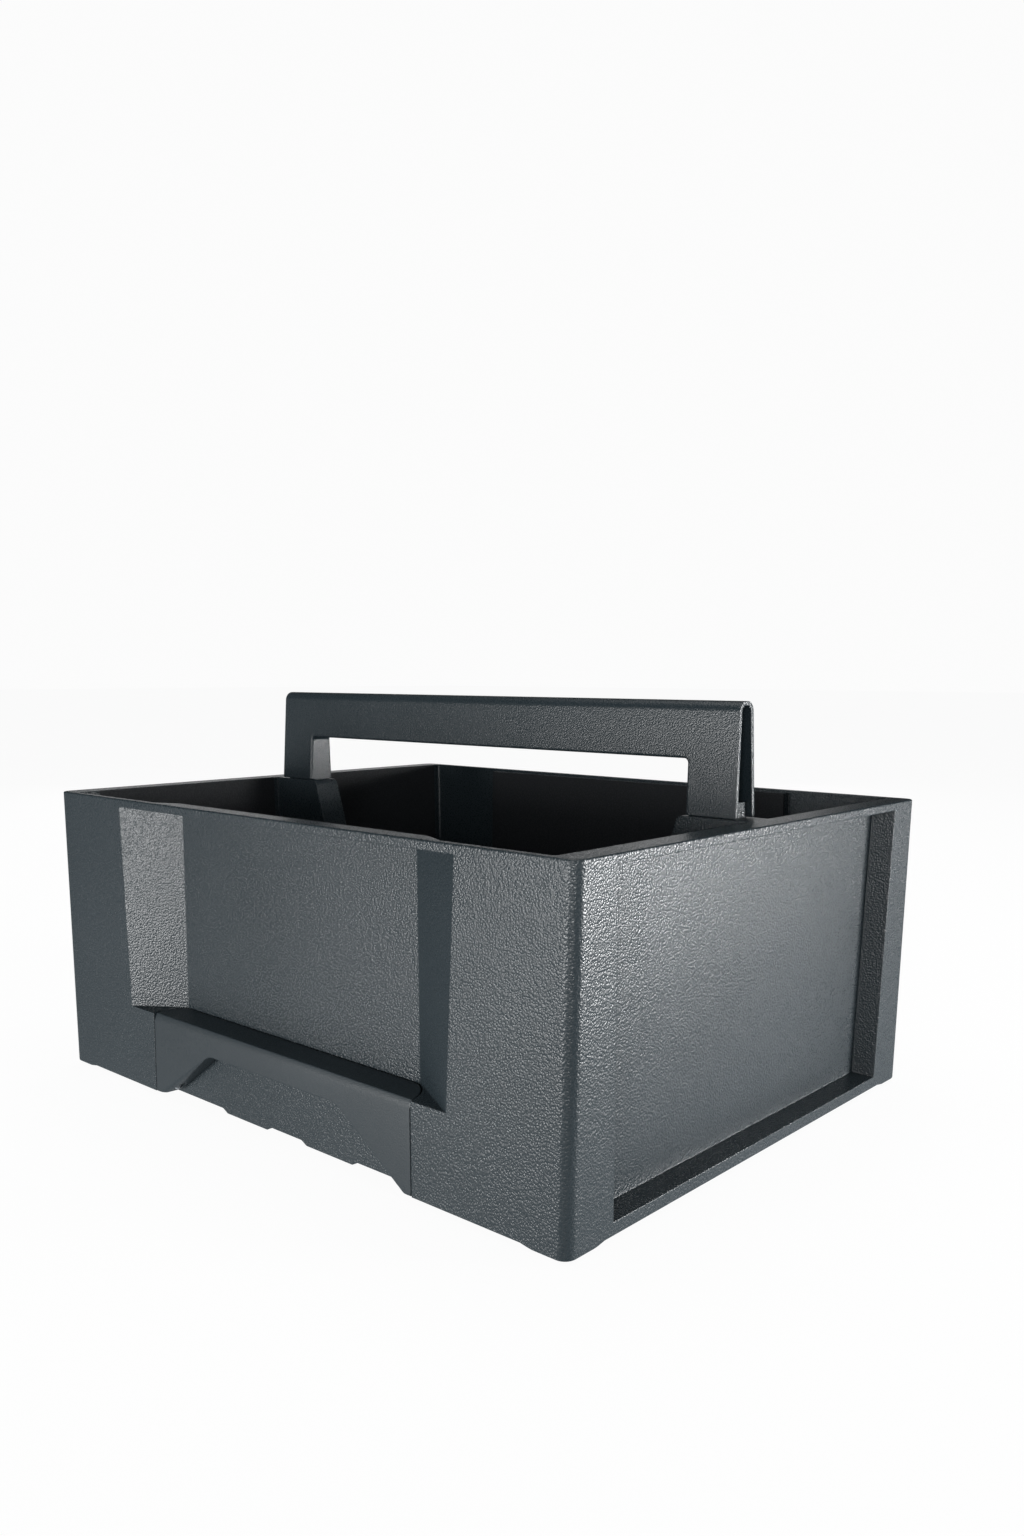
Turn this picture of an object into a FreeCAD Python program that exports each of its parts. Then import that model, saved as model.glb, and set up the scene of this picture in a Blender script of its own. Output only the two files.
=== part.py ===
import FreeCAD, Part
import os
import Sketcher

# Open tool caddy: a moulded tub, a fixed carry handle over its middle and a
# handle that folds out of the front wall. Millimetres, +Z up, front at -Y.
# The origin is on the ground under the middle of the rim.

DIMENSIONS = {
    # Tub outline
    "length": 400,
    "depth": 311.6,
    "rim_height": 166.2,
    "skirt_gap": 3,
    "end_taper": 6.2,
    "front_taper": 2.4,
    "corner_radius": 6,
    # Walls, floor and rim
    "wall": 3,
    "rim_band": 4.5,
    "front_rim_width": 4.5,
    "end_rim_width": 15,
    "inner_radius": 2,
    "floor_gap": 2,
    "floor_thickness": 3,
    "edge_round": 0.8,
    # Front recess
    "front_recess_depth": 16,
    "front_recess_inset_top": 67,
    "front_recess_inset_bottom": 73.5,
    "front_slope_width": 39,
    "front_recess_floor": 47.6,
    "front_floor_rise": 1.8,
    # Rear recess
    "rear_recess_depth": 8,
    "rear_recess_inset": 82,
    "rear_recess_floor": 9,
    # End recesses
    "end_recess_inset_top": 27,
    "end_recess_inset_bottom": 33,
    "end_recess_floor": 9,
    "end_floor_rise": 1.2,
    "recess_side_slope": 3,
    # Feet
    "foot_length": 35,
    "foot_width": 10,
    "foot_slope": 4,
    "front_foot_offset": 33.7,
    "end_foot_offset": 75,
    "corner_foot_gap": 1.6,
    "corner_foot_length": 17,
    "corner_foot_slope": 8,
    # Carry handle and the pillars that it stands on
    "handle_offset": 4.2,
    "handle_end_gap": 22,
    "handle_top": 224.6,
    "handle_foot_width": 18,
    "handle_crown_width": 12.4,
    "handle_crown_round": 5.4,
    "handle_wall": 2.2,
    "handle_joint_gap": 0.5,
    "handle_leg": 29.5,
    "grip_height": 29.4,
    "window_round": 1.6,
    "window_corner": 2.5,
    "pillar_reach": 4.5,
    "pillar_slope": 18,
    "pillar_corner": 4,
    "pillar_cap": 14,
    "tongue_height": 8,
    "tongue_length": 7,
    "tongue_inset": 3,
    "tongue_gap": 0.3,
    # Screws of the carry handle
    "screw_radius": 2.4,
    "screw_hole_radius": 2.8,
    "screw_head_radius": 4.75,
    "screw_head_height": 3.5,
    "screw_length": 34,
    "screw_tip": 3,
    "boss_length": 14,
    "boss_height": 26,
    # Front handle
    "seam_beside_panel": 10,
    "seam_gap": 0.6,
    "bar_height": 13.7,
    "bar_corner": 13.5,
    "bar_wall": 2.6,
    "bar_cells": 5,
    "bar_cells_inset": 21,
    "bar_bevel_height": 4,
    "bar_bevel_depth": 1.6,
    "coupling_depth": 10.5,
    "leg_bottom_gap": 0.3,
    "hinge_radius": 4.9,
    "hinge_gap": 0.4,
    "slit": 1,
    "leg_width": 10,
    "leg_slope_width": 41.8,
    "arch_round": 14,
    "leg_round": 6.5,
    "leg_round_tip": 0.8,
    "leg_round_stop": 3.5,
    "toe_width": 2,
    "toe_height": 1.2,
    # Hinge pins
    "pin_radius": 2.5,
    "pin_length": 22,
    "pin_in_tub": 8,
    "pin_clearance": 0.05,
    "pin_chamfer": 0.5,
    # How far a cut runs past the face that it opens
    "overrun": 1,
}

doc = FreeCAD.newDocument("caddy")
sheet = doc.addObject("Spreadsheet::Sheet", "sizes")
for row, (alias, number) in enumerate(DIMENSIONS.items(), start=1):
    sheet.set(f"A{row}", alias)
    sheet.set(f"B{row}", str(number))
    sheet.setAlias(f"B{row}", alias)
doc.recompute()

# Sizes that follow from the driving ones, as expressions of the sheet.
FRONT_TILT = "atan(sizes.front_taper / (sizes.rim_height - sizes.skirt_gap))"
END_TILT = "atan(sizes.end_taper / (sizes.rim_height - sizes.skirt_gap))"
FRONT_RECESS_TOP_HALF = "(sizes.length / 2 - sizes.front_recess_inset_top)"
FRONT_RECESS_LOW_HALF = "(sizes.length / 2 - sizes.front_recess_inset_bottom)"
PANEL_HALF = f"({FRONT_RECESS_TOP_HALF} - sizes.front_slope_width)"
REAR_RECESS_HALF = "(sizes.length / 2 - sizes.rear_recess_inset)"
END_RECESS_TOP_HALF = "(sizes.depth / 2 - sizes.end_recess_inset_top)"
END_RECESS_LOW_HALF = "(sizes.depth / 2 - sizes.end_recess_inset_bottom)"
HANDLE_LENGTH = "(sizes.length - 2 * sizes.handle_end_gap)"
WINDOW_HALF = f"({HANDLE_LENGTH} / 2 - sizes.handle_leg)"
WINDOW_TOP = "(sizes.handle_top - sizes.grip_height)"
PILLAR_INNER = f"({WINDOW_HALF} - sizes.pillar_reach)"
SEAM_HALF = f"({PANEL_HALF} + sizes.seam_beside_panel)"
ARCH_LOW_HALF = f"({SEAM_HALF} - sizes.leg_width)"
ARCH_TOP_HALF = f"({ARCH_LOW_HALF} - sizes.leg_slope_width)"
CELLS_HALF = f"({SEAM_HALF} - sizes.bar_cells_inset)"
FLOOR_TOP = "(sizes.floor_gap + sizes.floor_thickness)"
RECESS_TOP = "(sizes.rim_height - sizes.rim_band)"
END_RECESS_DEPTH = "(sizes.end_rim_width - sizes.wall)"
LEG_BOTTOM = "(sizes.skirt_gap + sizes.leg_bottom_gap)"
LEG_DEPTH = "(sizes.coupling_depth - sizes.hinge_gap)"
HINGE_HEIGHT = f"({LEG_BOTTOM} + sizes.hinge_radius)"
HINGE_DEPTH = f"({LEG_DEPTH} - sizes.hinge_radius)"
BAR_BOTTOM = "(sizes.front_recess_floor - sizes.bar_height)"
BAR_DEPTH = "(sizes.front_recess_depth - sizes.slit)"
HANDLE_HALF = f"({SEAM_HALF} - sizes.seam_gap)"
CARRY_FOOT = "(sizes.rim_height + sizes.handle_joint_gap)"
CORE_TOP = "(sizes.rim_height - sizes.pillar_cap)"
SCREW_X = f"({WINDOW_HALF} + sizes.handle_wall + sizes.boss_length / 2)"


def value(expression):
    """Number that an expression of the sheet stands for."""
    return float(sheet.evalExpression(expression))


def lean(taper, height):
    """How far a sloping wall has come in from the rim at a height."""
    return f"(sizes.{taper} * (sizes.rim_height - {height}) / (sizes.rim_height - sizes.skirt_gap))"


def front_wall_y(height):
    """Where the outer face of the front wall is at a height."""
    return f"({lean('front_taper', height)} - sizes.depth / 2)"


def front_height(height):
    """Height measured up the sloping front or rear wall, counted from the rim."""
    return f"(({height} - sizes.rim_height) / cos({FRONT_TILT}))"


def end_height(height):
    """The same on an end wall."""
    return f"(({height} - sizes.rim_height) / cos({END_TILT}))"


HINGE_Y = f"({front_wall_y(HINGE_HEIGHT)} + {HINGE_DEPTH} / cos({FRONT_TILT}))"


# Helpers for sketches and features

def new_body(label):
    body = doc.addObject("PartDesign::Body", label)
    body.Label = label
    return body


def plane(body, role):
    return next(item for item in body.Origin.OriginFeatures if item.Role == role)


def new_sketch(body, name, role, base, tilt=None):
    sketch = body.newObject("Sketcher::SketchObject", name)
    sketch.AttachmentSupport = [(plane(body, role), "")]
    sketch.MapMode = "FlatFace"
    turn = FreeCAD.Rotation(FreeCAD.Vector(1, 0, 0), 0)
    sketch.AttachmentOffset = FreeCAD.Placement(FreeCAD.Vector(), turn)
    for letter, expression in zip("xyz", base):
        sketch.setExpression(f"AttachmentOffset.Base.{letter}", expression)
    if tilt:
        sketch.setExpression("AttachmentOffset.Rotation.Angle", tilt)
    return sketch


def dimension(sketch, kind, expression, *where):
    number = sketch.addConstraint(Sketcher.Constraint(kind, *where, value(expression)))
    sketch.setExpression(f"Constraints[{number}]", expression)


def outline(body, name, role, points, base=("0", "0", "0"), tilt=None, bends=None):
    """Closed sketch through points given as pairs of expressions, counter-clockwise.

    The sides are straight, but a side whose number is in bends is an arc about that centre.
    """
    sketch = new_sketch(body, name, role, base, tilt)
    bends = bends or {}
    spots = [FreeCAD.Vector(value(across), value(up), 0) for across, up in points]
    count = len(points)
    for index, start in enumerate(spots):
        end = spots[(index + 1) % count]
        if index in bends:
            centre = FreeCAD.Vector(*(value(part) for part in bends[index]), 0)
            ring = Part.Circle(centre, FreeCAD.Vector(0, 0, 1), (start - centre).Length)
            side = Part.ArcOfCircle(ring, ring.parameter(start), ring.parameter(end))
        else:
            side = Part.LineSegment(start, end)
        sketch.addGeometry(side, False)
    for index in range(count):
        sketch.addConstraint(Sketcher.Constraint("Coincident", index, 2, (index + 1) % count, 1))
    for index, (across, up) in enumerate(points):
        dimension(sketch, "DistanceX", across, index, 1)
        dimension(sketch, "DistanceY", up, index, 1)
    for index, centre in bends.items():
        dimension(sketch, "DistanceX", centre[0], index, 3)
    return sketch


def circle(body, name, role, radius, base, centre=("0", "0")):
    sketch = new_sketch(body, name, role, base)
    middle = FreeCAD.Vector(value(centre[0]), value(centre[1]), 0)
    ring = sketch.addGeometry(Part.Circle(middle, FreeCAD.Vector(0, 0, 1), value(radius)), False)
    dimension(sketch, "DistanceX", centre[0], ring, 3)
    dimension(sketch, "DistanceY", centre[1], ring, 3)
    dimension(sketch, "Radius", radius, ring)
    return sketch


def front_outline(body, name, depth_in, points):
    """Sketch parallel to the front wall and set in from it; heights count from the rim."""
    base = ("0", "sizes.rim_height", f"sizes.depth / 2 - ({depth_in}) / cos({FRONT_TILT})")
    return outline(body, name, "XZ_Plane", points, base, FRONT_TILT)


def rear_outline(body, name, depth_in, points):
    base = ("0", "sizes.rim_height", f"({depth_in}) / cos({FRONT_TILT}) - sizes.depth / 2")
    return outline(body, name, "XZ_Plane", points, base, f"-{FRONT_TILT}")


def end_outline(body, name, depth_in, points):
    base = ("0", "sizes.rim_height", f"sizes.length / 2 - ({depth_in}) / cos({END_TILT})")
    return outline(body, name, "YZ_Plane", points, base, END_TILT)


def rectangle(half_x, half_y):
    return [(f"-({half_x})", f"-({half_y})"), (half_x, f"-({half_y})"),
            (half_x, half_y), (f"-({half_x})", half_y)]


def trapezoid(half_top, half_bottom, top, bottom):
    return [(f"-({half_bottom})", bottom), (half_bottom, bottom),
            (half_top, top), (f"-({half_top})", top)]


def loft(body, kind, name, first, second):
    feature = body.newObject(f"PartDesign::{kind}Loft", name)
    feature.Profile = first
    feature.Sections = [second]
    feature.Ruled = True
    doc.recompute()
    return feature


def extrude(body, kind, name, sketch, length, reverse=False, middle=False):
    feature = body.newObject(f"PartDesign::{kind}", name)
    feature.Profile = sketch
    feature.setExpression("Length", length)
    feature.Reversed = reverse
    feature.Midplane = middle
    doc.recompute()
    return feature


def mirror(body, name, feature):
    """Copy a feature to the other end of the part."""
    copy = body.newObject("PartDesign::Mirrored", name)
    copy.Originals = [feature]
    copy.MirrorPlane = (plane(body, "YZ_Plane"), [""])
    body.Tip = copy
    doc.recompute()
    return copy


def middle_of(edge):
    return edge.valueAt((edge.FirstParameter + edge.LastParameter) / 2)


def runs_along(edge, letter):
    """True for an edge whose ends lie apart along one axis more than across it."""
    run = edge.valueAt(edge.LastParameter) - edge.valueAt(edge.FirstParameter)
    return run.Length > 0 and abs(getattr(run, letter)) > 0.9 * run.Length


def near(first, second):
    return abs(first - second) < 0.05


def dress(body, kind, name, size, wanted):
    """Round or bevel the edges of the body's last feature that the test accepts."""
    base = body.Tip
    edges = [f"Edge{number}" for number, edge in enumerate(base.Shape.Edges, start=1) if wanted(edge)]
    feature = body.newObject(f"PartDesign::{kind}", name)
    feature.Base = (base, edges)
    feature.setExpression("Radius" if kind == "Fillet" else "Size", size)
    doc.recompute()
    return feature


def slope_walls(body, name, letter, angle, inner):
    """Draft the walls that face along an axis, so that they lean out towards the rim."""
    base = body.Tip
    rim = value("sizes.rim_height")
    walls = []
    for number, face in enumerate(base.Shape.Faces, start=1):
        if face.Surface.TypeId != "Part::GeomPlane":
            continue
        normal = face.normalAt(0, 0)
        place = getattr(face.CenterOfMass, letter)
        faces_in = getattr(normal, letter) * place < 0
        if abs(getattr(normal, letter)) > 0.9 and faces_in == inner:
            walls.append(f"Face{number}")
    top = [f"Face{number}" for number, face in enumerate(base.Shape.Faces, start=1)
           if near(face.BoundBox.ZMin, rim)]
    feature = body.newObject("PartDesign::Draft", name)
    feature.Base = (base, walls)
    feature.NeutralPlane = (base, top)
    feature.Reversed = not inner
    feature.setExpression("Angle", angle)
    doc.recompute()
    return feature


# Tub

def build_tub():
    tub = new_body("tub")
    rim = value("sizes.rim_height")
    rim_base = ("0", "0", "sizes.rim_height")
    outer = outline(tub, "outer_rim", "XY_Plane", rectangle("sizes.length / 2", "sizes.depth / 2"), rim_base)
    extrude(tub, "Pad", "outer_block", outer, "sizes.rim_height - sizes.corner_foot_gap", reverse=True)
    slope_walls(tub, "outer_end_slope", "x", END_TILT, inner=False)
    slope_walls(tub, "outer_front_slope", "y", FRONT_TILT, inner=False)
    dress(tub, "Fillet", "outer_corners", "sizes.corner_radius", lambda edge: runs_along(edge, "z"))
    dress(tub, "Fillet", "outer_edges", "sizes.edge_round", lambda edge: not runs_along(edge, "z"))

    raise_skirt(tub)

    inner = outline(tub, "inner_rim", "XY_Plane", rectangle(
        "sizes.length / 2 - sizes.end_rim_width", "sizes.depth / 2 - sizes.front_rim_width"), rim_base)
    extrude(tub, "Pocket", "cavity", inner, f"sizes.rim_height - {FLOOR_TOP}")
    slope_walls(tub, "inner_end_slope", "x", END_TILT, inner=True)
    slope_walls(tub, "inner_front_slope", "y", FRONT_TILT, inner=True)
    half_inside = value("sizes.length / 2 - sizes.end_rim_width") + 0.1
    half_deep = value("sizes.depth / 2 - sizes.front_rim_width") + 0.1
    dress(tub, "Fillet", "inner_corners", "sizes.inner_radius", lambda edge: runs_along(edge, "z")
          and abs(middle_of(edge).x) < half_inside and abs(middle_of(edge).y) < half_deep)
    dress(tub, "Fillet", "inner_edges", "sizes.edge_round", lambda edge: near(middle_of(edge).z, rim)
          and abs(middle_of(edge).x) < half_inside and abs(middle_of(edge).y) < half_deep)

    add_front_recess(tub)
    add_rear_recess(tub)
    add_end_recesses(tub)
    add_floor_plate_and_feet(tub)
    add_pillars(tub)
    add_corner_cores(tub)
    add_front_handle_pocket(tub)
    return tub


def raise_skirt(tub):
    """Cut the skirt higher between the corners, which stay lower and meet it in a slope."""
    low = "2 * sizes.corner_foot_gap - sizes.skirt_gap"
    half_y = "sizes.depth / 2 - sizes.front_taper - sizes.corner_foot_length"
    half_x = "sizes.length / 2 - sizes.end_taper - sizes.corner_foot_length"
    sides = (("end", "YZ_Plane", half_y, "sizes.length"), ("front", "XZ_Plane", half_x, "sizes.depth"))
    for name, role, half, across in sides:
        profile = outline(tub, f"{name}_skirt_profile", role, trapezoid(
            f"{half} - sizes.corner_foot_slope", f"{half} + sizes.corner_foot_slope", "sizes.skirt_gap", low))
        extrude(tub, "Pocket", f"{name}_skirt", profile, f"2 * {across}", middle=True)


def add_front_recess(tub):
    """Sloped recess in the front wall, with a wall of even thickness behind it."""
    top = front_height(RECESS_TOP)
    top_in = front_height(f"({RECESS_TOP} + sizes.wall)")
    low = front_height("sizes.front_recess_floor")
    low_in = front_height("(sizes.front_recess_floor + sizes.front_floor_rise)")
    floor = front_height("(sizes.skirt_gap + sizes.edge_round)")
    half_top = FRONT_RECESS_TOP_HALF
    half_low = FRONT_RECESS_LOW_HALF
    panel = PANEL_HALF
    depth_in = "sizes.front_recess_depth"
    backing_face = front_outline(tub, "front_backing_face", "sizes.wall / 2", trapezoid(
        f"{half_top} + sizes.wall", f"{half_low} + sizes.wall", top_in, floor))
    backing_panel = front_outline(tub, "front_backing_panel", f"{depth_in} + sizes.wall", trapezoid(
        f"{panel} + sizes.wall", f"{panel} + sizes.wall", top_in, floor))
    loft(tub, "Additive", "front_backing", backing_face, backing_panel)

    # The cut starts in front of the wall, with its slopes carried on.
    share = f"sizes.overrun / {depth_in}"
    mouth = front_outline(tub, "front_recess_mouth", "-sizes.overrun", trapezoid(
        f"{half_top} + ({half_top} - {panel}) * {share}", f"{half_low} + ({half_low} - {panel}) * {share}",
        top, f"{low} - sizes.front_floor_rise * {share}"))
    back = front_outline(tub, "front_recess_back", depth_in, trapezoid(panel, panel, top, low_in))
    loft(tub, "Subtractive", "front_recess", mouth, back)


def add_rear_recess(tub):
    """Plain recess in the rear wall; its back stands into the tub as a raised panel."""
    top = front_height(RECESS_TOP)
    top_in = front_height(f"({RECESS_TOP} + sizes.wall)")
    low = front_height("sizes.rear_recess_floor")
    floor = front_height("(sizes.skirt_gap + sizes.edge_round)")
    half = REAR_RECESS_HALF
    depth_in = "sizes.rear_recess_depth"
    mouth_half = f"{half} + sizes.recess_side_slope * (1 + sizes.overrun / {depth_in})"
    backing = rear_outline(tub, "rear_backing_panel", f"{depth_in} + sizes.wall", trapezoid(
        f"{half} + sizes.wall", f"{half} + sizes.wall", top_in, floor))
    extrude(tub, "Pad", "rear_backing", backing, f"{depth_in} + sizes.wall / 2", reverse=True)
    mouth = rear_outline(tub, "rear_recess_mouth", "-sizes.overrun", trapezoid(
        mouth_half, mouth_half, top, low))
    back = rear_outline(tub, "rear_recess_back", depth_in, trapezoid(half, half, top, low))
    loft(tub, "Subtractive", "rear_recess", mouth, back)


def add_end_recesses(tub):
    """Recess in each end wall under the wide rim, with a ledge along its foot."""
    share = f"sizes.overrun / {END_RECESS_DEPTH}"
    top = end_height(RECESS_TOP)
    low = f"{end_height('sizes.end_recess_floor')} - sizes.end_floor_rise * {share}"
    low_in = end_height("(sizes.end_recess_floor + sizes.end_floor_rise)")
    flare = f"sizes.recess_side_slope * {share}"
    half_top = END_RECESS_TOP_HALF
    half_low = END_RECESS_LOW_HALF
    mouth = end_outline(tub, "end_recess_mouth", "-sizes.overrun", trapezoid(
        f"{half_top} + {flare}", f"{half_low} + {flare}", top, low))
    back = end_outline(tub, "end_recess_back", END_RECESS_DEPTH, trapezoid(
        f"{half_top} - sizes.recess_side_slope", f"{half_low} - sizes.recess_side_slope", top, low_in))
    recess = loft(tub, "Subtractive", "end_recess", mouth, back)
    mirror(tub, "end_recesses", recess)


def add_pillars(tub):
    """Hollow pillar inside each end wall, with a cap that the carry handle is screwed to."""
    base = ("0", "0", "-sizes.handle_offset")
    spread = "tan(sizes.pillar_slope)"
    foot = f"({FLOOR_TOP} - sizes.floor_thickness / 2)"
    wall_middle = "sizes.length / 2 - sizes.end_rim_width + sizes.wall / 2"
    profile = outline(tub, "pillar_profile", "XZ_Plane", [
        (f"{PILLAR_INNER} - (sizes.rim_height - {foot}) * {spread}", foot),
        (f"{wall_middle} - sizes.end_taper", foot),
        (wall_middle, "sizes.rim_height"),
        (PILLAR_INNER, "sizes.rim_height")], base)
    pillar = extrude(tub, "Pad", "pillar", profile, "sizes.handle_foot_width", middle=True)
    mirror(tub, "pillars", pillar)
    inner = value(PILLAR_INNER)
    rim = value("sizes.rim_height")
    dress(tub, "Fillet", "pillar_corners", "sizes.pillar_corner", lambda edge: runs_along(edge, "y")
          and near(abs(middle_of(edge).x), inner) and near(middle_of(edge).z, rim))

    inset = "sizes.wall / cos(sizes.pillar_slope)"
    wall_face = "sizes.length / 2 - sizes.end_rim_width"
    core_profile = outline(tub, "pillar_core_profile", "XZ_Plane", [
        (f"{PILLAR_INNER} - sizes.rim_height * {spread} + {inset}", "0"),
        (f"{wall_face} - sizes.end_taper", "0"),
        (f"{wall_face} - {lean('end_taper', CORE_TOP)}", CORE_TOP),
        (f"{PILLAR_INNER} - sizes.pillar_cap * {spread} + {inset}", CORE_TOP)], base)
    core = extrude(tub, "Pocket", "pillar_core", core_profile,
                   "sizes.handle_foot_width - 2 * sizes.wall", middle=True)
    mirror(tub, "pillar_cores", core)

    # A tongue on each cap keeps the handle leg from turning on its screw.
    centre = f"{HANDLE_LENGTH} / 2 - sizes.tongue_inset - sizes.tongue_length / 2"
    narrowing = "(sizes.handle_foot_width - sizes.handle_crown_width) / (sizes.handle_top - sizes.rim_height)"
    half_foot = "sizes.handle_foot_width / 2 - sizes.handle_wall - sizes.tongue_gap"
    half_tip = f"{half_foot} - {narrowing} * sizes.tongue_height / 2"
    sections = []
    for name, half, height in (("tongue_foot", half_foot, "sizes.rim_height - sizes.wall"),
                               ("tongue_tip", half_tip, "sizes.rim_height + sizes.tongue_height")):
        sections.append(outline(tub, name, "XY_Plane", rectangle("sizes.tongue_length / 2", half),
                                (centre, "sizes.handle_offset", height)))
    tongue = loft(tub, "Additive", "tongue", *sections)
    mirror(tub, "tongues", tongue)

    ring = circle(tub, "screw_hole_circle", "XY_Plane", "sizes.screw_hole_radius",
                  (SCREW_X, "sizes.handle_offset", "sizes.rim_height"))
    hole = extrude(tub, "Pocket", "screw_hole", ring, "sizes.pillar_cap + sizes.overrun")
    mirror(tub, "screw_holes", hole)


def add_floor_plate_and_feet(tub):
    """Floor plate behind the skirt and the low feet along its edges."""
    half_x = "sizes.length / 2 - sizes.end_taper - sizes.coupling_depth"
    half_y = "sizes.depth / 2 - sizes.front_taper - sizes.coupling_depth"
    plate = outline(tub, "floor_plate_outline", "XY_Plane", rectangle(half_x, half_y),
                    ("0", "0", "sizes.floor_gap"))
    extrude(tub, "Pad", "floor_plate", plate, "sizes.floor_thickness")
    half_foot = "sizes.foot_length / 2"
    edges = (("front", "XZ_Plane", half_y, "sizes.front_foot_offset"),
             ("end", "YZ_Plane", half_x, "sizes.end_foot_offset"))
    for edge, role, half, offset in edges:
        for side in ("", "-"):
            for place in ("", "-"):
                name = f"{edge}_foot{'_far' if side else ''}{'_left' if place else ''}"
                profile = outline(tub, f"{name}_profile", role, [
                    (f"{place}{offset} - {half_foot}", "0"),
                    (f"{place}{offset} + {half_foot}", "0"),
                    (f"{place}{offset} + {half_foot} + sizes.foot_slope", "sizes.floor_gap"),
                    (f"{place}{offset} - {half_foot} - sizes.foot_slope", "sizes.floor_gap")],
                    ("0", "0", f"{side}({half})"))
                extrude(tub, "Pad", name, profile, "sizes.foot_width", reverse=not side)


def add_corner_cores(tub):
    """Hollow in each corner column, open underneath, so that its walls are no thicker than the rest."""
    near_side = f"({END_RECESS_TOP_HALF} + sizes.wall)"
    for end, sign in (("front", "-"), ("rear", "")):
        sections = []
        for name, height in (("foot", "(-sizes.overrun)"), ("roof", f"({RECESS_TOP} - sizes.wall)")):
            far_side = f"(sizes.depth / 2 - sizes.front_rim_width - {lean('front_taper', height)})"
            middle = f"sizes.length / 2 - sizes.end_rim_width / 2 - {lean('end_taper', height)}"
            sections.append(outline(tub, f"{end}_core_{name}", "XY_Plane", rectangle(
                "sizes.end_rim_width / 2 - sizes.wall", f"({far_side} - {near_side}) / 2"),
                (middle, f"{sign}({far_side} + {near_side}) / 2", height)))
        core = loft(tub, "Subtractive", f"{end}_corner_core", *sections)
        mirror(tub, f"{end}_corner_cores", core)


def add_front_handle_pocket(tub):
    """Pocket that the front handle folds into, and the bores for its hinge pins."""
    below = front_height("-sizes.overrun")
    leg_top = front_height(f"({BAR_BOTTOM} + sizes.seam_gap)")
    face = front_outline(tub, "leg_pocket_outline", "-sizes.overrun", trapezoid(
        SEAM_HALF, SEAM_HALF, leg_top, below))
    extrude(tub, "Pocket", "leg_pocket", face, "sizes.coupling_depth + sizes.overrun")

    lid = "(sizes.front_recess_floor + sizes.front_floor_rise + sizes.overrun)"
    front = f"{front_wall_y(BAR_BOTTOM)} - sizes.overrun - sizes.front_taper"
    rear = f"{front_wall_y('sizes.front_recess_floor')} + sizes.front_recess_depth"
    half = SEAM_HALF
    bend = "(sizes.bar_corner + sizes.seam_gap)"
    inset = f"({half} - {bend})"
    plan = outline(tub, "bar_pocket_outline", "XY_Plane", [
        (f"-{half}", front), (half, front),
        (half, f"{rear} - {bend}"), (inset, rear),
        (f"-{inset}", rear), (f"-{half}", f"{rear} - {bend}")], ("0", "0", lid),
        bends={2: (inset, f"{rear} - {bend}"), 4: (f"-{inset}", f"{rear} - {bend}")})
    extrude(tub, "Pocket", "bar_pocket", plan, f"{lid} - {BAR_BOTTOM} + sizes.slit")

    ring = circle(tub, "pin_bore_circle", "YZ_Plane", "sizes.pin_radius",
                  ("0", "0", SEAM_HALF), (HINGE_Y, HINGE_HEIGHT))
    bore = extrude(tub, "Pocket", "pin_bore", ring, "sizes.pin_in_tub", reverse=True)
    mirror(tub, "pin_bores", bore)


# Carry handle

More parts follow.
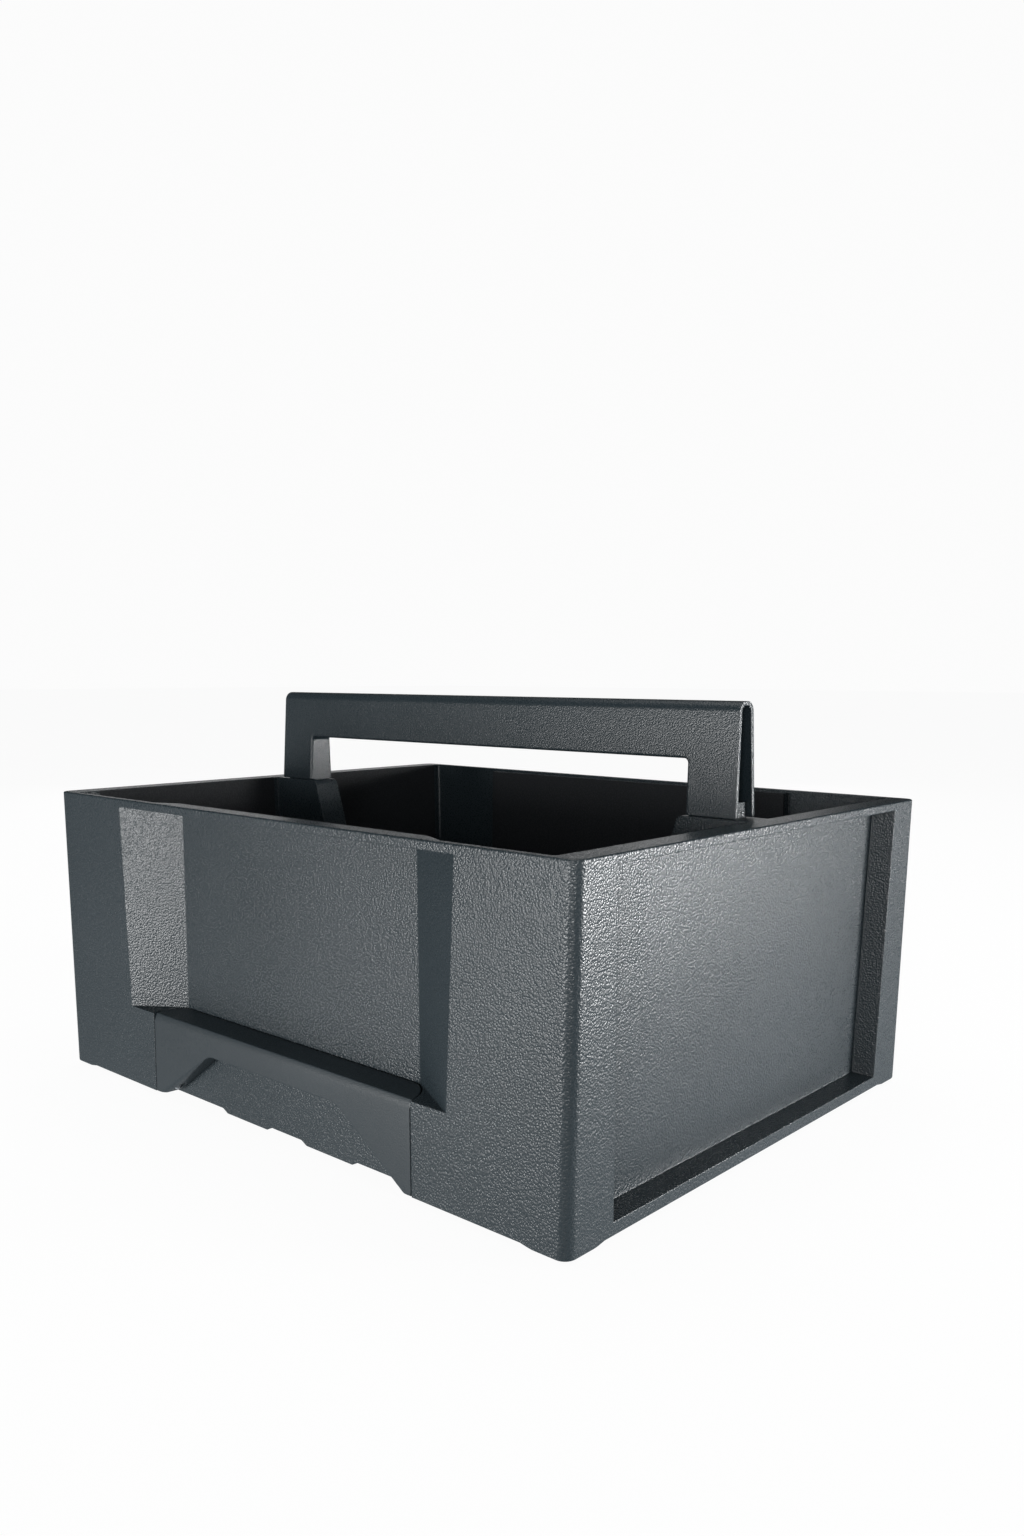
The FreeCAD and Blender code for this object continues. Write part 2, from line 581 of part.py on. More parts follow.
def build_carry_handle():
    handle = new_body("carry_handle")
    base = ("sizes.handle_offset", "0", "0")
    half_foot = "sizes.handle_foot_width / 2"
    half_crown = "sizes.handle_crown_width / 2"
    section = outline(handle, "section", "YZ_Plane", trapezoid(
        half_crown, half_foot, "sizes.handle_top", CARRY_FOOT), base)
    extrude(handle, "Pad", "bar_and_legs", section, HANDLE_LENGTH, middle=True)
    top = value("sizes.handle_top")
    dress(handle, "Fillet", "crown", "sizes.handle_crown_round",
          lambda edge: runs_along(edge, "x") and near(middle_of(edge).z, top))

    hollow = outline(handle, "hollow_section", "YZ_Plane", trapezoid(
        f"{half_crown} - sizes.handle_wall", f"{half_foot} - sizes.handle_wall",
        "sizes.handle_top - sizes.handle_wall", CARRY_FOOT), base)
    extrude(handle, "Pocket", "hollow", hollow, f"{HANDLE_LENGTH} + 2 * sizes.overrun", middle=True)
    roof = value("sizes.handle_top - sizes.handle_wall")
    dress(handle, "Fillet", "hollow_crown", "sizes.handle_crown_round - sizes.handle_wall",
          lambda edge: runs_along(edge, "x") and near(middle_of(edge).z, roof))

    # A web closes the channel round the window, and a boss in each leg takes the screw.
    inner_width = "sizes.handle_foot_width - 2 * sizes.handle_wall"
    depth_base = ("0", "0", "-sizes.handle_offset")
    web_half = f"{WINDOW_HALF} + sizes.handle_wall"
    web = outline(handle, "web_outline", "XZ_Plane", trapezoid(
        web_half, web_half, f"{WINDOW_TOP} + sizes.handle_wall", CARRY_FOOT), depth_base)
    extrude(handle, "Pad", "web", web, inner_width, middle=True)
    boss_end = f"{web_half} + sizes.boss_length"
    boss_outline = outline(handle, "boss_outline", "XZ_Plane", trapezoid(
        boss_end, boss_end, "sizes.rim_height + sizes.boss_height", "sizes.rim_height"), depth_base)
    extrude(handle, "Pad", "bosses", boss_outline, inner_width, middle=True)
    window = outline(handle, "window_outline", "XZ_Plane", trapezoid(
        WINDOW_HALF, WINDOW_HALF, WINDOW_TOP,
        "sizes.rim_height - sizes.overrun"), depth_base)
    extrude(handle, "Pocket", "window", window, "2 * sizes.handle_foot_width", middle=True)
    half = value(WINDOW_HALF)
    lintel = value(WINDOW_TOP)
    dress(handle, "Fillet", "window_corners", "sizes.window_corner",
          lambda edge: runs_along(edge, "y") and near(abs(middle_of(edge).x), half)
          and near(middle_of(edge).z, lintel))
    round_window(handle)

    ring = circle(handle, "pilot_circle", "XY_Plane", "sizes.screw_radius",
                  (SCREW_X, "sizes.handle_offset", "sizes.rim_height"))
    pilot = extrude(handle, "Pocket", "pilot", ring,
                    "sizes.screw_length - sizes.pillar_cap + sizes.overrun", reverse=True)
    mirror(handle, "pilots", pilot)
    return handle


def round_window(handle):
    """Soften the window's front and rear edges, where the hand goes."""
    half = value(WINDOW_HALF)
    lintel = value(WINDOW_TOP)
    centre = value("sizes.handle_offset")
    inside = value("sizes.handle_foot_width / 2 - sizes.handle_wall")

    def wanted(edge):
        spot = middle_of(edge)
        skin = abs(spot.y - centre) > inside - value("sizes.handle_wall")
        round_it = abs(spot.x) < half + 0.1 and spot.z < lintel + 0.1 and not runs_along(edge, "y")
        foot = value(CARRY_FOOT)
        return skin and round_it and not near(spot.z, foot)

    dress(handle, "Fillet", "window_edges", "sizes.window_round", wanted)


# Front handle

def build_front_handle():
    handle = new_body("front_handle")
    add_bar(handle)
    add_legs(handle)
    add_bar_cells(handle)
    ring = circle(handle, "hinge_bore_circle", "YZ_Plane", "sizes.pin_radius + sizes.pin_clearance",
                  ("0", "0", SEAM_HALF), (HINGE_Y, HINGE_HEIGHT))
    bore = extrude(handle, "Pocket", "hinge_bore", ring, f"{SEAM_HALF} - {ARCH_TOP_HALF}")
    mirror(handle, "hinge_bores", bore)
    return handle


def add_bar(handle):
    """Bar that the fingers hold, bevelled in front and rounded in plan at its rear corners."""
    top = "sizes.front_recess_floor"
    bevel_foot = f"({top} - sizes.bar_bevel_height)"
    rear = f"{front_wall_y(top)} + {BAR_DEPTH}"
    rise = f"sizes.front_floor_rise * {BAR_DEPTH} / sizes.front_recess_depth"
    section = outline(handle, "bar_section", "YZ_Plane", [
        (front_wall_y(BAR_BOTTOM), BAR_BOTTOM),
        (rear, BAR_BOTTOM),
        (rear, f"{top} + {rise}"),
        (f"{front_wall_y(top)} + sizes.bar_bevel_depth", top),
        (front_wall_y(bevel_foot), bevel_foot)])
    extrude(handle, "Pad", "bar", section, f"2 * {HANDLE_HALF}", middle=True)
    half = value(HANDLE_HALF)
    back = value(rear)
    dress(handle, "Fillet", "bar_corners", "sizes.bar_corner", lambda edge: runs_along(edge, "z")
          and near(abs(middle_of(edge).x), half) and near(middle_of(edge).y, back))


def add_legs(handle):
    """Two legs under the bar, with the arch for the fingers between them."""
    depth_in = f"{LEG_DEPTH} / cos({FRONT_TILT})"
    section = outline(handle, "leg_section", "YZ_Plane", [
        (front_wall_y(LEG_BOTTOM), LEG_BOTTOM),
        (f"{front_wall_y(LEG_BOTTOM)} + {depth_in}", LEG_BOTTOM),
        (f"{front_wall_y(BAR_BOTTOM)} + {depth_in}", BAR_BOTTOM),
        (front_wall_y(BAR_BOTTOM), BAR_BOTTOM)])
    extrude(handle, "Pad", "legs", section, f"2 * {HANDLE_HALF}", middle=True)
    run = f"({ARCH_LOW_HALF} - {ARCH_TOP_HALF}) / ({BAR_BOTTOM} - {LEG_BOTTOM})"
    toe_out = f"({ARCH_LOW_HALF} + sizes.toe_width)"
    toe_in = f"({ARCH_LOW_HALF} - sizes.toe_height * {run})"
    toe_top = f"{LEG_BOTTOM} + sizes.toe_height"
    below = f"{LEG_BOTTOM} - sizes.overrun"
    arch = outline(handle, "arch_outline", "XZ_Plane", [
        (f"-{toe_out}", below), (toe_out, below), (toe_out, LEG_BOTTOM), (toe_in, toe_top),
        (ARCH_TOP_HALF, BAR_BOTTOM), (f"-{ARCH_TOP_HALF}", BAR_BOTTOM),
        (f"-{toe_in}", toe_top), (f"-{toe_out}", LEG_BOTTOM)], ("0", "0", "sizes.depth / 2"))
    extrude(handle, "Pocket", "arch", arch, "2 * sizes.front_recess_depth", middle=True)

    bar_bottom = value(BAR_BOTTOM)
    leg_bottom = value(LEG_BOTTOM)
    half_top = value(ARCH_TOP_HALF)
    hinge = value(HINGE_Y)
    dress(handle, "Fillet", "arch_corners", "sizes.arch_round", lambda edge: runs_along(edge, "y")
          and near(abs(middle_of(edge).x), half_top) and near(middle_of(edge).z, bar_bottom))
    dress(handle, "Fillet", "leg_heels", "sizes.hinge_radius", lambda edge: runs_along(edge, "x")
          and near(middle_of(edge).z, leg_bottom) and middle_of(edge).y > hinge)

    # Broad round on each leg's front edge, which fades out under the bar.
    sections = []
    for name, radius, height in (("leg_round_foot", "sizes.leg_round", f"({LEG_BOTTOM} - sizes.overrun)"),
                                 ("leg_round_end", "sizes.leg_round_tip",
                                  f"({BAR_BOTTOM} - sizes.leg_round_stop)")):
        edge_x = f"({ARCH_LOW_HALF} - ({height} - {LEG_BOTTOM}) * {run})"
        face_y = front_wall_y(height)
        outside = f"({face_y} - sizes.overrun)"
        opening = f"({edge_x} - sizes.overrun)"
        far_x = f"({edge_x} + {radius})"
        deep_y = f"({face_y} + {radius})"
        sections.append(outline(handle, name, "XY_Plane", [
            (edge_x, deep_y), (far_x, face_y), (far_x, outside), (opening, outside), (opening, deep_y)],
            ("0", "0", height), bends={0: (far_x, deep_y)}))
    rounding = loft(handle, "Subtractive", "leg_round", *sections)
    mirror(handle, "leg_rounds", rounding)


def add_bar_cells(handle):
    """Row of cells in the rear of the bar, with ribs between them."""
    count = int(value("sizes.bar_cells"))
    rear = f"{front_wall_y('sizes.front_recess_floor')} + {BAR_DEPTH}"
    pitch = f"2 * {CELLS_HALF} / sizes.bar_cells"
    for number in range(count):
        left = f"({pitch} * {number} - {CELLS_HALF} + sizes.bar_wall / 2)"
        right = f"({pitch} * {number + 1} - {CELLS_HALF} - sizes.bar_wall / 2)"
        low = f"{BAR_BOTTOM} + sizes.bar_wall"
        high = "sizes.front_recess_floor - sizes.bar_wall"
        cell = outline(handle, f"bar_cell_{number}_outline", "XZ_Plane",
                       [(left, low), (right, low), (right, high), (left, high)], ("0", "0", f"-({rear})"))
        extrude(handle, "Pocket", f"bar_cell_{number}", cell,
                f"{BAR_DEPTH} - sizes.bar_wall - sizes.bar_bevel_depth", reverse=True)


# Pins and screws

def build_hinge_pin(label, side):
    pin = new_body(label)
    ring = circle(pin, f"{label}_circle", "YZ_Plane", "sizes.pin_radius", ("0", "0", "0"))
    extrude(pin, "Pad", f"{label}_rod", ring, "sizes.pin_length", middle=True)
    dress(pin, "Chamfer", f"{label}_ends", "sizes.pin_chamfer", lambda edge: True)
    middle = f"({SEAM_HALF} + sizes.pin_in_tub - sizes.pin_length / 2)"
    pin.setExpression("Placement.Base.x", f"{side}{middle}")
    pin.setExpression("Placement.Base.y", HINGE_Y)
    pin.setExpression("Placement.Base.z", HINGE_HEIGHT)
    doc.recompute()
    return pin


def build_handle_screw(label, side):
    screw = new_body(label)
    profile = outline(screw, f"{label}_profile", "XZ_Plane", [
        ("0", "-sizes.screw_head_height"), ("sizes.screw_head_radius", "-sizes.screw_head_height"),
        ("sizes.screw_head_radius", "0"), ("sizes.screw_radius", "0"),
        ("sizes.screw_radius", "sizes.screw_length - sizes.screw_tip"), ("0", "sizes.screw_length")])
    turned = screw.newObject("PartDesign::Revolution", f"{label}_turned")
    turned.Profile = profile
    turned.ReferenceAxis = (profile, ["V_Axis"])
    turned.Angle = 360
    doc.recompute()
    screw.setExpression("Placement.Base.x", f"{side}{SCREW_X}")
    screw.setExpression("Placement.Base.y", "sizes.handle_offset")
    screw.setExpression("Placement.Base.z", CORE_TOP)
    doc.recompute()
    return screw


def check_and_write(parts):
    for item in doc.Objects:
        if "Invalid" in item.State or "Error" in item.State:
            raise RuntimeError(f"{item.Name} failed: {item.State}")
    for part in parts:
        if part.Shape.isNull() or not part.Shape.isValid():
            raise RuntimeError(f"{part.Label} has no valid shape")
    os.makedirs("parts", exist_ok=True)
    for part in parts:
        part.Shape.exportStep(f"parts/{part.Label}.step")
        size = part.Shape.BoundBox
        spans = [round(span, 1) for span in (size.XLength, size.YLength, size.ZLength)]
        print(part.Label, len(part.Shape.Solids), round(part.Shape.Volume / 1000, 1), "cm3", spans)


pieces = [build_tub(), build_carry_handle(), build_front_handle()]
for end, side in (("left", "-"), ("right", "")):
    pieces.append(build_hinge_pin(f"hinge_pin_{end}", side))
    pieces.append(build_handle_screw(f"handle_screw_{end}", side))
check_and_write(pieces)
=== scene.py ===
# %% [markdown]
# # A moulded tool caddy, dressed for its picture
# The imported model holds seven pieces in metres: the tub, the carry handle with its
# two screws, and the front handle with its two hinge pins. Their shapes are all
# there, so this lesson adds what a photograph shows besides shape: soft edges,
# grained plastic, a light table and a camera.

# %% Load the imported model
import math
import bpy
from mathutils import Euler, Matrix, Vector


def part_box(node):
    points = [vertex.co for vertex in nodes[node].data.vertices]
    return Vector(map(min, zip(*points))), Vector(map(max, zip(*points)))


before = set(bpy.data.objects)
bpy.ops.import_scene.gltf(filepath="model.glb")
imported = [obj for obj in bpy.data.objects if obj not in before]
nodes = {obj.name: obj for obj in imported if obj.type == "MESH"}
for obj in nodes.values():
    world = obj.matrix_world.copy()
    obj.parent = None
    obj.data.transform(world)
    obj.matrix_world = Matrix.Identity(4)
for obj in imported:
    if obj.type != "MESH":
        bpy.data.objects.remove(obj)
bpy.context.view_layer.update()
print("pieces:", sorted(nodes))

# %% [markdown]
# ## Creases
# The walls of the mould are flat and meet in edges rounded by about a millimetre.
# The imported mesh is made of loose triangles: with flat shading its rounds would
# show facets, and with smooth shading the flat slopes of the recesses would look
# swollen. So a Weld joins the triangles, an Edge Split makes a crease wherever two
# faces meet at more than a set angle, and weighted normals keep the large faces
# flat. The small rounding itself comes later, from a Bevel node in the material,
# which needs no extra mesh.

# %% Creases
MM = 0.001
CREASE_ANGLES = {"tub": 19, "carry_handle": 30, "front_handle": 25}
WELD_GAP = 0.002 * MM


def crease(piece, angle):
    """Shade a piece smoothly, with a crease wherever it turns by more than an angle."""
    for polygon in piece.data.polygons:
        polygon.use_smooth = True
    weld = piece.modifiers.new("join_triangles", "WELD")
    weld.merge_threshold = WELD_GAP
    split = piece.modifiers.new("creases", "EDGE_SPLIT")
    split.split_angle = math.radians(angle)
    split.use_edge_sharp = False
    normals = piece.modifiers.new("even_normals", "WEIGHTED_NORMAL")
    normals.weight = 100
    normals.mode = "FACE_AREA"
    normals.keep_sharp = False


for name, angle in CREASE_ANGLES.items():
    crease(nodes[name], angle)
    print("creased", name, "at", angle, "degrees")

# %% [markdown]
# ## Node helpers
# A material is a graph of nodes. Each of these short functions adds one or two
# nodes and returns the socket to plug in next, so that the finishes further down
# read like recipes. The textures use the object's own coordinates: no piece needs
# unwrapping, and the grain keeps one real size, given in pits per metre.

# %% Textures and maths
# Most of a noise lies between these two values.
NOISE_LOW, NOISE_HIGH = 0.3, 0.7


def new_material(name):
    material = bpy.data.materials.new(name)
    material.use_nodes = True
    tree = material.node_tree
    tree.nodes.clear()
    output = tree.nodes.new("ShaderNodeOutputMaterial")
    shader = tree.nodes.new("ShaderNodeBsdfPrincipled")
    tree.links.new(shader.outputs["BSDF"], output.inputs["Surface"])
    return material, tree, shader


def texture(tree, kind, scale):
    place = tree.nodes.new("ShaderNodeTexCoord")
    node = tree.nodes.new(kind)
    node.inputs["Scale"].default_value = scale
    tree.links.new(place.outputs["Object"], node.inputs["Vector"])
    return node


def noise(tree, scale):
    return texture(tree, "ShaderNodeTexNoise", scale).outputs["Fac"]


def pits(tree, per_metre):
    """Small round pits, packed at random: nought at each middle, about one between them."""
    return texture(tree, "ShaderNodeTexVoronoi", per_metre).outputs["Distance"]


def spread(tree, source, low, high, start=NOISE_LOW, end=NOISE_HIGH):
    """Map the source from start and end, by default those of a noise, to low and high."""
    node = tree.nodes.new("ShaderNodeMapRange")
    node.inputs["From Min"].default_value = start
    node.inputs["From Max"].default_value = end
    node.inputs["To Min"].default_value = low
    node.inputs["To Max"].default_value = high
    tree.links.new(source, node.inputs["Value"])
    return node.outputs["Result"]


def maths(tree, operation, first, second=None):
    node = tree.nodes.new("ShaderNodeMath")
    node.operation = operation
    for socket, value in zip(node.inputs, (first, second)):
        if isinstance(value, float):
            socket.default_value = value
        elif value is not None:
            tree.links.new(value, socket)
    return node.outputs["Value"]


print("texture helpers ready")

# %% Colours and surface
def two_tone(tree, source, dark, light):
    ramp = tree.nodes.new("ShaderNodeValToRGB")
    first, second = ramp.color_ramp.elements
    first.position = NOISE_LOW
    second.position = NOISE_HIGH
    first.color = (*dark, 1)
    second.color = (*light, 1)
    tree.links.new(source, ramp.inputs["Fac"])
    return ramp.outputs["Color"]


def replace_colour(tree, mask, colour, other):
    """Use another colour where the mask is one."""
    node = tree.nodes.new("ShaderNodeMix")
    node.data_type = "RGBA"
    # The node has sockets of the same names for numbers, vectors and colours.
    first, second, result = node.inputs[6], node.inputs[7], node.outputs[2]
    tree.links.new(mask, node.inputs["Factor"])
    tree.links.new(colour, first)
    second.default_value = (*other, 1)
    return result


def rounded_edges(tree, radius):
    """A normal that turns smoothly over every edge, within a radius in metres."""
    node = tree.nodes.new("ShaderNodeBevel")
    node.samples = 6
    node.inputs["Radius"].default_value = radius
    return node.outputs["Normal"]


def bump(tree, source, height, normal):
    """Raise the surface by a height in metres where the source is one."""
    node = tree.nodes.new("ShaderNodeBump")
    node.inputs["Strength"].default_value = 1.0
    node.inputs["Distance"].default_value = height
    tree.links.new(source, node.inputs["Height"])
    tree.links.new(normal, node.inputs["Normal"])
    return node.outputs["Normal"]


print("surface helpers ready")

# %% [markdown]
# ## Where the tub's grain stops and its shade is painted
# The tub has three surfaces. Its outer walls are grained, a narrow band under the
# rim is smooth, and the inside has painted shade: a darker colour, with a duller
# polish, stands for the shade that falls deep in the tub. The areas could be given
# face by face, but the walls are simple enough to tell apart by place: a point is
# inside when it lies in a box, midway through the walls, that leans with them. The
# strip with the two pillars is left out of it, down to the floor, so that they keep
# the outer walls' colour and polish.

# %% Masks
tub_low, tub_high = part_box("tub")
RIM_TOP = tub_high[2]
RIM_BAND = RIM_TOP - 4.5 * MM
BAND_BLEND = 0.4 * MM
END_WALL = tub_high[0] - 13.5 * MM
END_LEAN = 6.2 * MM
REAR_WALL = tub_high[1] - 9.5 * MM
FRONT_WALL = tub_low[1] + 17.5 * MM
SIDE_LEAN = 2.4 * MM
FLOOR_TOP = 5.5 * MM
HANDLE_MIDDLE = (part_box("carry_handle")[0][1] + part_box("carry_handle")[1][1]) / 2
PILLAR_HALF = 12 * MM


def own_place(tree):
    place = tree.nodes.new("ShaderNodeTexCoord")
    parts = tree.nodes.new("ShaderNodeSeparateXYZ")
    tree.links.new(place.outputs["Object"], parts.inputs["Vector"])
    return parts.outputs


def away_from(tree, source, middle):
    return maths(tree, "ABSOLUTE", maths(tree, "SUBTRACT", source, middle))


def below_rim_band(tree):
    return spread(tree, own_place(tree)["Z"], 1.0, 0.0, RIM_BAND - BAND_BLEND, RIM_BAND)


def painted_shade_inside(tree):
    """One on the tub's inner faces, where its shade is painted, and nought on its outer faces and its
    pillars.
    """
    place = own_place(tree)
    end_lean = spread(tree, place["Z"], END_LEAN, 0.0, 0.0, RIM_TOP)
    side_lean = spread(tree, place["Z"], SIDE_LEAN, 0.0, 0.0, RIM_TOP)
    along = maths(tree, "ADD", away_from(tree, place["X"], 0.0), end_lean)
    across = maths(tree, "ADD", away_from(tree, place["Y"], (REAR_WALL + FRONT_WALL) / 2), side_lean)
    within = maths(tree, "MULTIPLY", maths(tree, "LESS_THAN", along, END_WALL),
                   maths(tree, "LESS_THAN", across, (REAR_WALL - FRONT_WALL) / 2))
    beside_pillars = maths(tree, "GREATER_THAN", away_from(tree, place["Y"], HANDLE_MIDDLE), PILLAR_HALF)
    on_floor = maths(tree, "LESS_THAN", place["Z"], FLOOR_TOP)
    return maths(tree, "MULTIPLY", within, maths(tree, "MAXIMUM", beside_pillars, on_floor))


print("tub rim at", round(RIM_TOP, 4), "and handle middle at", round(HANDLE_MIDDLE, 4))

# %% [markdown]
# ## Grained slate plastic
# The walls have the fine, even pits that spark erosion leaves in a steel mould. An
# image of the grain could be wrapped round each piece, but a Voronoi texture makes
# round pits at random places without one. The pits tilt the surface through a Bump
# node and change its polish a little, so the grain sparkles where the sheen falls.
# A wide, faint noise shifts the grey, as flow in the mould does.

# %% Grained plastic
SLATE_DARK = (0.0085, 0.0135, 0.0165)
SLATE_LIGHT = (0.0125, 0.0180, 0.0215)
# The inside's colour is painted shade, darker than the walls, to stand for the shade deep in the tub.
INNER_PAINTED_SHADE = (0.0035, 0.0048, 0.0065)
INNER_DULLNESS = 0.35
FLOW_MARKS_PER_METRE = 9
EDGE_ROUND = 0.9 * MM
PLASTIC_IOR = 1.45
PLASTIC_SHEEN = 0.4
# A pit's middle is a little more polished than the mean, and its edge a little less.
PIT_MIDDLE, PIT_EDGE = 0.2, 0.6
MIDDLE_POLISH, EDGE_DULLNESS = 0.10, 0.08


def grained_plastic(name, pits_per_metre, depth, rough, is_tub=False):
    material, tree, shader = new_material(name)
    grain = pits(tree, pits_per_metre)
    colour = two_tone(tree, noise(tree, FLOW_MARKS_PER_METRE), SLATE_DARK, SLATE_LIGHT)
    polish = spread(tree, grain, rough - MIDDLE_POLISH, rough + EDGE_DULLNESS, PIT_MIDDLE, PIT_EDGE)
    if is_tub:
        inside = painted_shade_inside(tree)
        # Painted shade: the inside takes a darker colour, with a duller polish, to stand for the shade
        # deep in the tub.
        colour = replace_colour(tree, inside, colour, INNER_PAINTED_SHADE)
        polish = maths(tree, "ADD", polish, maths(tree, "MULTIPLY", inside, INNER_DULLNESS))
        grain = maths(tree, "MULTIPLY", grain, below_rim_band(tree))
    tree.links.new(colour, shader.inputs["Base Color"])
    tree.links.new(polish, shader.inputs["Roughness"])
    shader.inputs["IOR"].default_value = PLASTIC_IOR
    shader.inputs["Specular IOR Level"].default_value = PLASTIC_SHEEN
    tree.links.new(bump(tree, grain, depth, rounded_edges(tree, EDGE_ROUND)), shader.inputs["Normal"])
    return material


tub_plastic = grained_plastic("slate_wall_grain", pits_per_metre=950, depth=0.20 * MM, rough=0.31,
                              is_tub=True)
handle_plastic = grained_plastic("slate_handle_grain", pits_per_metre=1200, depth=0.13 * MM, rough=0.31)
bar_plastic = grained_plastic("slate_bar_grain", pits_per_metre=1300, depth=0.05 * MM, rough=0.40)
print("made", tub_plastic.name, handle_plastic.name, bar_plastic.name)

# %% [markdown]
# ## Plated steel
# The hinge pins and the handle's screws are plain zinc-plated steel, and hardly any
# of it shows. A metal with a fine, uneven polish is enough: modelled scratches or
# threads would never be seen.

# %% Steel
ZINC_DARK = (0.48, 0.48, 0.49)
ZINC_LIGHT = (0.62, 0.62, 0.63)
ZINC_SMOOTH, ZINC_ROUGH = 0.24, 0.38
UNEVEN_SPOTS_PER_METRE = 2500


def plated_steel(name):
    material, tree, shader = new_material(name)
    uneven = noise(tree, UNEVEN_SPOTS_PER_METRE)
    tree.links.new(two_tone(tree, uneven, ZINC_DARK, ZINC_LIGHT), shader.inputs["Base Color"])
    tree.links.new(spread(tree, uneven, ZINC_SMOOTH, ZINC_ROUGH), shader.inputs["Roughness"])
    shader.inputs["Metallic"].default_value = 1.0
    return material


steel = plated_steel("plated_steel")
print("made", steel.name)

# %% [markdown]
# ## Dressing the pieces
# Every piece has one material, which goes into each of its slots. Where the look
# changes within a piece, as on the tub with its smooth band and its painted shade
# inside, masks inside the material see to it, because the change follows the walls
# and not the faces of the mesh.

# %% Finishes
FINISHES = {
    "tub": tub_plastic,
    "carry_handle": handle_plastic,
    "front_handle": bar_plastic,
    "handle_screw_left": steel,
    "handle_screw_right": steel,
    "hinge_pin_left": steel,
    "hinge_pin_right": steel,
}
for name, material in FINISHES.items():
    piece = nodes[name]
    if not piece.material_slots:
        piece.data.materials.append(material)
    for slot in piece.material_slots:
        slot.material = material
print("finished", len(FINISHES), "pieces")

# %% [markdown]
# ## Light table
# Pictures on pure white are often shot on a light table, a pale sheet that glows
# from below. This floor glows by emission. It doesn't block the lamps, which can
# then stand as low as the sheen needs them, and the plastic doesn't mirror it, so
# the table is white while the dark walls keep their contrast. A plain lit floor
# would need far more light, which would fill the tub.

# %% Floor
FLOOR_SIZE = 30
FLOOR_GLOW = 0.95
SHEET_DARK = (0.0180, 0.0185, 0.0190)
SHEET_LIGHT = (0.0220, 0.0220, 0.0220)
SHEET_CLOUDS_PER_METRE = 1.5


def pale_floor():
    half = FLOOR_SIZE / 2
    corners = [(-half, -half, 0), (half, -half, 0), (half, half, 0), (-half, half, 0)]
    mesh = bpy.data.meshes.new("floor")
    mesh.from_pydata(corners, [], [(0, 1, 2, 3)])
    floor = bpy.data.objects.new("floor", mesh)
    bpy.context.collection.objects.link(floor)
    material, tree, shader = new_material("pale_floor")
    sheet = two_tone(tree, noise(tree, SHEET_CLOUDS_PER_METRE), SHEET_DARK, SHEET_LIGHT)
    tree.links.new(sheet, shader.inputs["Base Color"])
    shader.inputs["Roughness"].default_value = 0.9
    shader.inputs["Emission Color"].default_value = (1, 1, 1, 1)
    shader.inputs["Emission Strength"].default_value = FLOOR_GLOW
    mesh.materials.append(material)
    floor.visible_glossy = False
    floor.visible_shadow = False
    return floor


pale_floor()
print("floor laid,", FLOOR_SIZE, "metres wide")

# %% [markdown]
# ## Lamps and surroundings
# Dark plastic shows what it mirrors more than what falls on it. Seen from just
# above the rim, each wall mirrors things near the horizon, so the lamps are low.
# Two stand in front: the lower one is caught by the left slope and the right part
# of the front, the higher one by the handle. One at the right is caught by the near
# end, one near the camera by the near corner and the sides of the end recess, and a
# faint one behind by the rim. The last, overhead, shows the tub's floor to a camera
# that looks down into it. The surroundings are dim above and brighter below, and
# only the camera sees them as white paper. One large dome would be simpler, but it
# would light the tub's inside and wash out the grain.

# %% Lamps
LIT_MIDDLE = (0, 0, 0.1)
# Each lamp's place, its width and height in metres, and its power in watts.
LAMPS = {
    "front_low_soft": ((-0.73, -1.75, -0.14), 0.60, 0.44, 22),
    "front_high_soft": ((-0.32, -1.87, 0.19), 0.36, 0.30, 15),
    "right_soft": ((1.63, 0.97, 0.08), 0.60, 0.40, 72),
    "near_soft": ((1.01, -1.61, 0.30), 0.50, 0.50, 20),
    "back_soft": ((-1.30, 1.30, 0.35), 1.60, 0.50, 2.8),
    "top_soft": ((0, 0, 1.50), 1.20, 1.20, 14),
}


def area_light(name, place, width, height, power):
    data = bpy.data.lights.new(name, "AREA")
    data.shape = "RECTANGLE"
    data.size = width
    data.size_y = height
    data.energy = power
    light = bpy.data.objects.new(name, data)
    light.location = place
    light.rotation_euler = (Vector(LIT_MIDDLE) - Vector(place)).to_track_quat("-Z", "Y").to_euler()
    light.visible_camera = False
    bpy.context.collection.objects.link(light)


for name, (place, width, height, power) in LAMPS.items():
    area_light(name, place, width, height, power)
print("lamps:", list(LAMPS))

# %% Surroundings
PAPER_WHITE = 0.97
ROOM_TINT = (0.88, 0.95, 1, 1)
ROOM_BELOW, ROOM_ABOVE = 0.72, 0.06
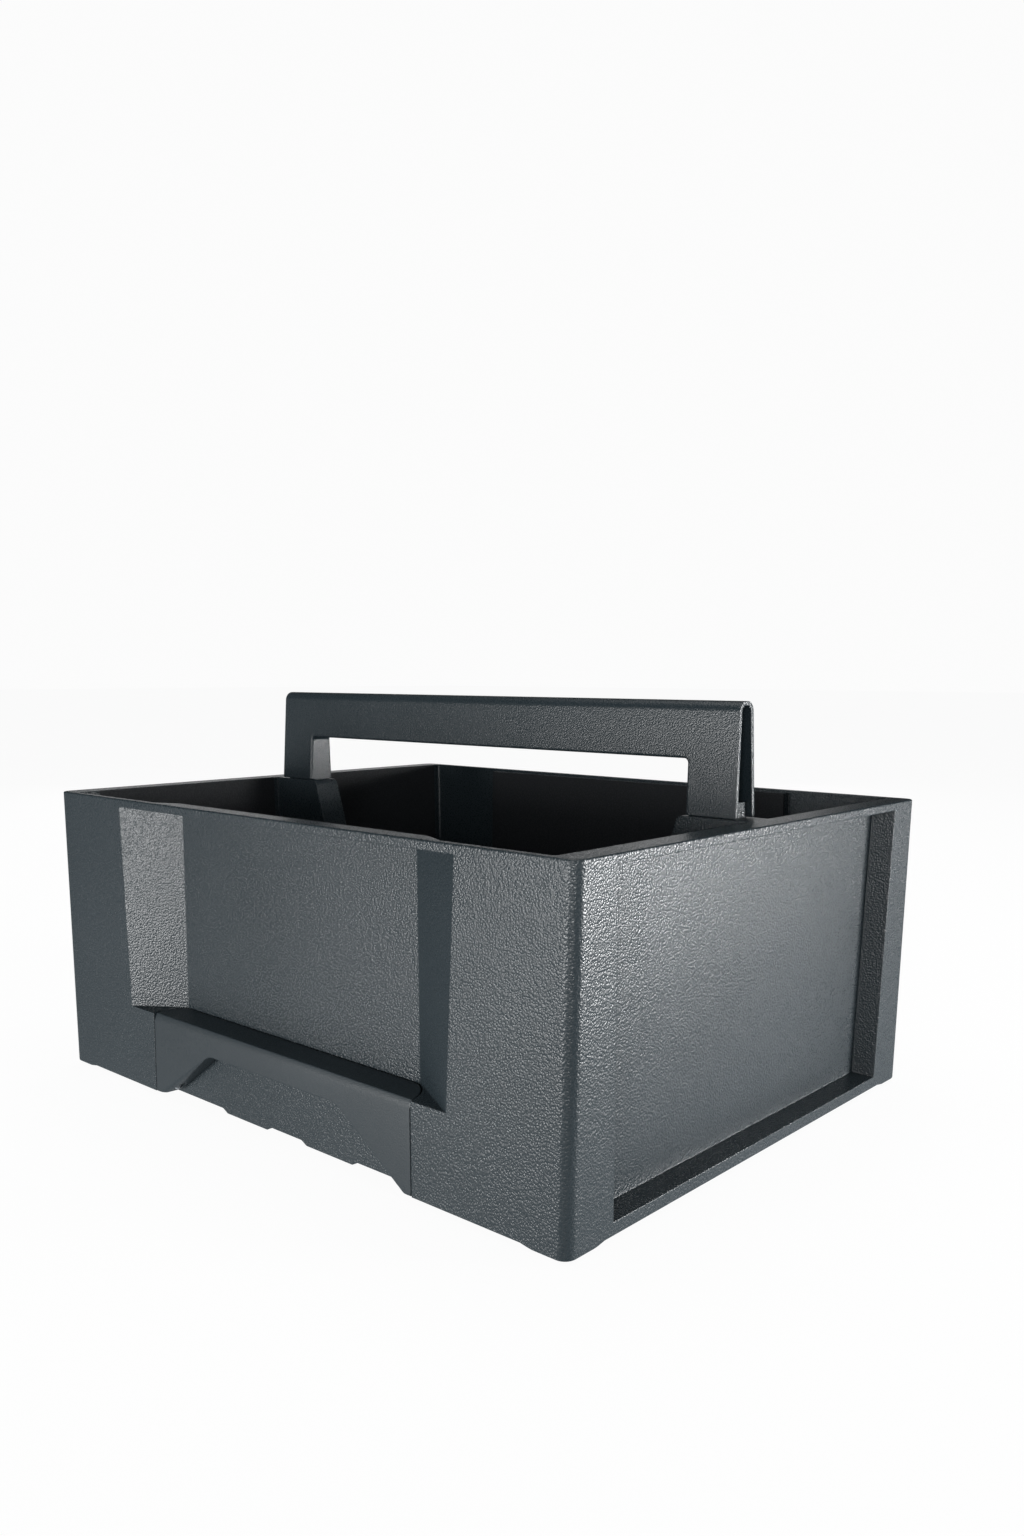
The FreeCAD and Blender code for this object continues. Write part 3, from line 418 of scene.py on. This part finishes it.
# The room dims between these heights of a ray, where -1 points straight down.
DIMS_FROM, DIMS_TO = -0.52, -0.02


def studio_room():
    world = bpy.data.worlds.new("studio")
    world.use_nodes = True
    tree = world.node_tree
    paper = tree.nodes["Background"]
    paper.inputs["Color"].default_value = (1, 1, 1, 1)
    paper.inputs["Strength"].default_value = PAPER_WHITE
    room = tree.nodes.new("ShaderNodeBackground")
    room.inputs["Color"].default_value = ROOM_TINT
    heading = tree.nodes.new("ShaderNodeTexCoord")
    parts = tree.nodes.new("ShaderNodeSeparateXYZ")
    tree.links.new(heading.outputs["Generated"], parts.inputs["Vector"])
    glow = spread(tree, parts.outputs["Z"], ROOM_BELOW, ROOM_ABOVE, DIMS_FROM, DIMS_TO)
    tree.links.new(glow, room.inputs["Strength"])
    ray = tree.nodes.new("ShaderNodeLightPath")
    either = tree.nodes.new("ShaderNodeMixShader")
    tree.links.new(ray.outputs["Is Camera Ray"], either.inputs["Fac"])
    tree.links.new(room.outputs["Background"], either.inputs[1])
    tree.links.new(paper.outputs["Background"], either.inputs[2])
    tree.links.new(either.outputs["Shader"], tree.nodes["World Output"].inputs["Surface"])
    return world


bpy.context.scene.world = studio_room()
bpy.context.scene.view_settings.view_transform = "Standard"
print("surroundings:", bpy.context.scene.world.name)

# %% [markdown]
# ## Camera
# The camera's place, turn and focal length were fitted to the straight edges of
# the tub in the photograph, until the model's edges lay over them. Placing it by
# eye is quicker, but a few degrees of error change the whole outline.

# %% Camera
CAMERA_PLACE = (0.48799, -0.51690, 0.23836)
CAMERA_TURN = (85.481, -0.137, 41.735)
LENS = 42.524
SENSOR_WIDTH = 36

view = bpy.data.cameras.new("photo_view")
view.sensor_fit = "HORIZONTAL"
view.sensor_width = SENSOR_WIDTH
view.lens = LENS
camera = bpy.data.objects.new("photo_view", view)
camera.location = CAMERA_PLACE
camera.rotation_euler = Euler([math.radians(a) for a in CAMERA_TURN])
bpy.context.collection.objects.link(camera)
bpy.context.scene.camera = camera
print("camera", CAMERA_PLACE, "lens", LENS)
